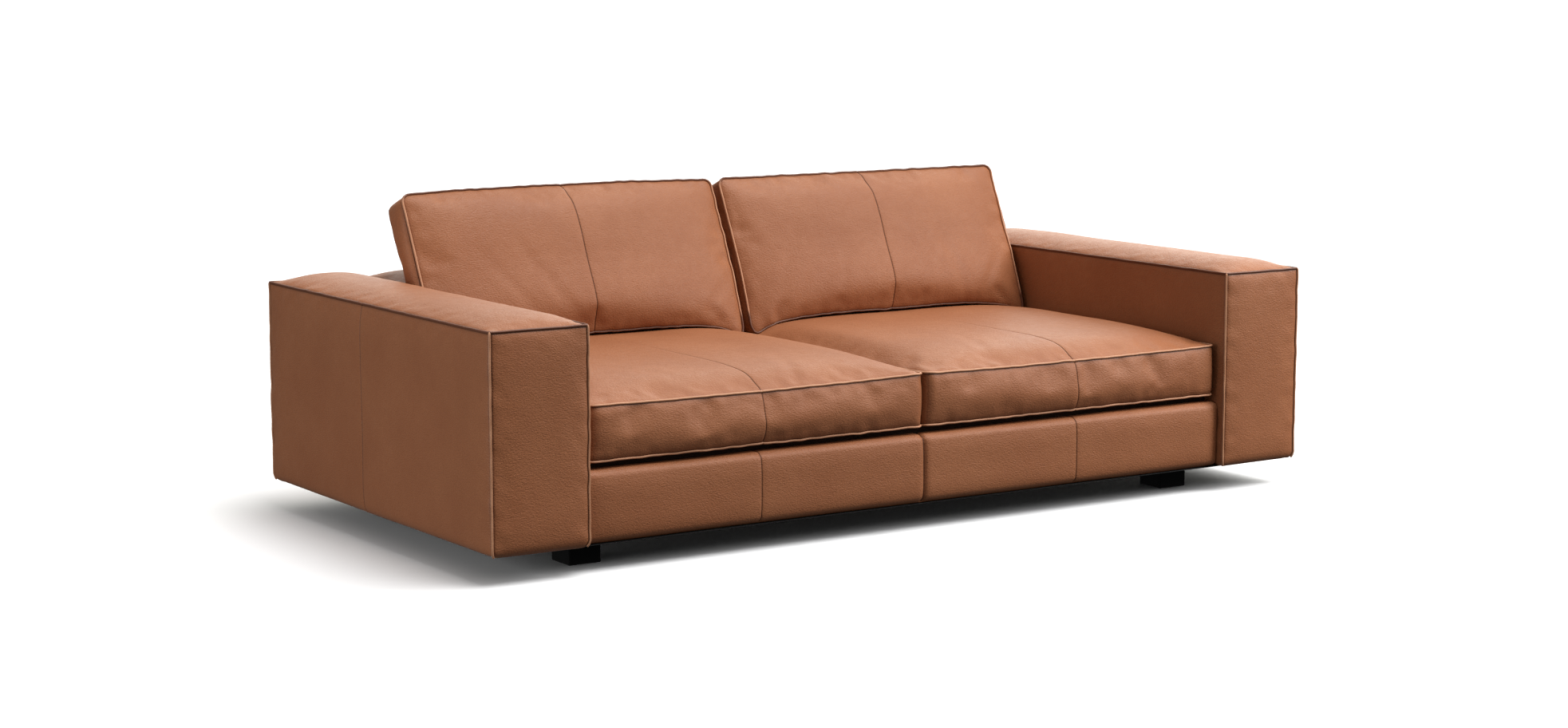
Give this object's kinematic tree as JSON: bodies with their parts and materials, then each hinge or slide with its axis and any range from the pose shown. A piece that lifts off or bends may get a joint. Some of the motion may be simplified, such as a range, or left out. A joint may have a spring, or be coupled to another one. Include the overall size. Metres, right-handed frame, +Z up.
{
  "type": "sofa",
  "caption": "Leather sofa with box arms and a low back, loose piped seat cushions, loose leaning back cushions and square black wooden block feet.",
  "frame": {"origin": "on the floor, under the middle of the sofa's bounding box", "axes": "+X to the right of someone facing the sofa's front, +Y towards the sofa's back, +Z up"},
  "size_m": [2.4, 1.19, 0.7983],
  "materials": {
    "leather": "satin",
    "timber": "matte",
    "foot_wood": "satin",
    "foam": "matte",
    "deck_cloth": "matte",
    "dust_cloth": "matte",
    "webbing": "matte",
    "zip": "matte",
    "steel": "satin"
  },
  "bodies": {
    "frame": {"back_cover": "leather", "back_padding": "foam", "back_panel": "timber", "back_top_rail": "timber", "centre_rail": "timber", "deck_pad": "deck_cloth", "dust_cover": "dust_cloth", "foot_block_front_left": "timber", "foot_block_front_right": "timber", "foot_block_rear_left": "timber", "foot_block_rear_right": "timber", "foot_bolt_front_left": "steel", "foot_bolt_front_right": "steel", "foot_bolt_rear_left": "steel", "foot_bolt_rear_right": "steel", "foot_front_left": "foot_wood", "foot_front_right": "foot_wood", "foot_rear_left": "foot_wood", "foot_rear_right": "foot_wood", "front_rail": "timber", "front_rail_cover": "leather", "front_rail_padding": "foam", "left_arm_bolt_front": "steel", "left_arm_bolt_rear": "steel", "left_arm_cover": "leather", "left_arm_front_board": "timber", "left_arm_inner_board": "timber", "left_arm_outer_board": "timber", "left_arm_padding": "foam", "left_arm_rear_board": "timber", "left_arm_top_board": "timber", "left_rail": "timber", "rear_rail": "timber", "right_arm_bolt_front": "steel", "right_arm_bolt_rear": "steel", "right_arm_cover": "leather", "right_arm_front_board": "timber", "right_arm_inner_board": "timber", "right_arm_outer_board": "timber", "right_arm_padding": "foam", "right_arm_rear_board": "timber", "right_arm_top_board": "timber", "right_rail": "timber", "seat_strap_1": "webbing", "seat_strap_2": "webbing", "seat_strap_3": "webbing", "seat_strap_4": "webbing", "seat_strap_5": "webbing"},
    "left_seat_cushion": {"left_seat_cover": "leather", "left_seat_core": "foam", "left_seat_zip": "zip"},
    "right_seat_cushion": {"right_seat_cover": "leather", "right_seat_core": "foam", "right_seat_zip": "zip"},
    "left_back_cushion": {"left_back_cover": "leather", "left_back_core": "foam", "left_back_zip": "zip"},
    "right_back_cushion": {"right_back_cover": "leather", "right_back_core": "foam", "right_back_zip": "zip"}
  },
  "joints": [
    {"name": "left_seat_slide", "type": "slide", "parent": "frame", "child": "left_seat_cushion", "axis": [0, -1, 0], "range_m": [0, 1.02]},
    {"name": "right_seat_slide", "type": "slide", "parent": "frame", "child": "right_seat_cushion", "axis": [0, -1, 0], "range_m": [0, 1.02]},
    {"name": "left_back_lift", "type": "slide", "parent": "frame", "child": "left_back_cushion", "axis": [0, 0, 1], "range_m": [0, 0.45]},
    {"name": "right_back_lift", "type": "slide", "parent": "frame", "child": "right_back_cushion", "axis": [0, 0, 1], "range_m": [0, 0.45]}
  ]
}
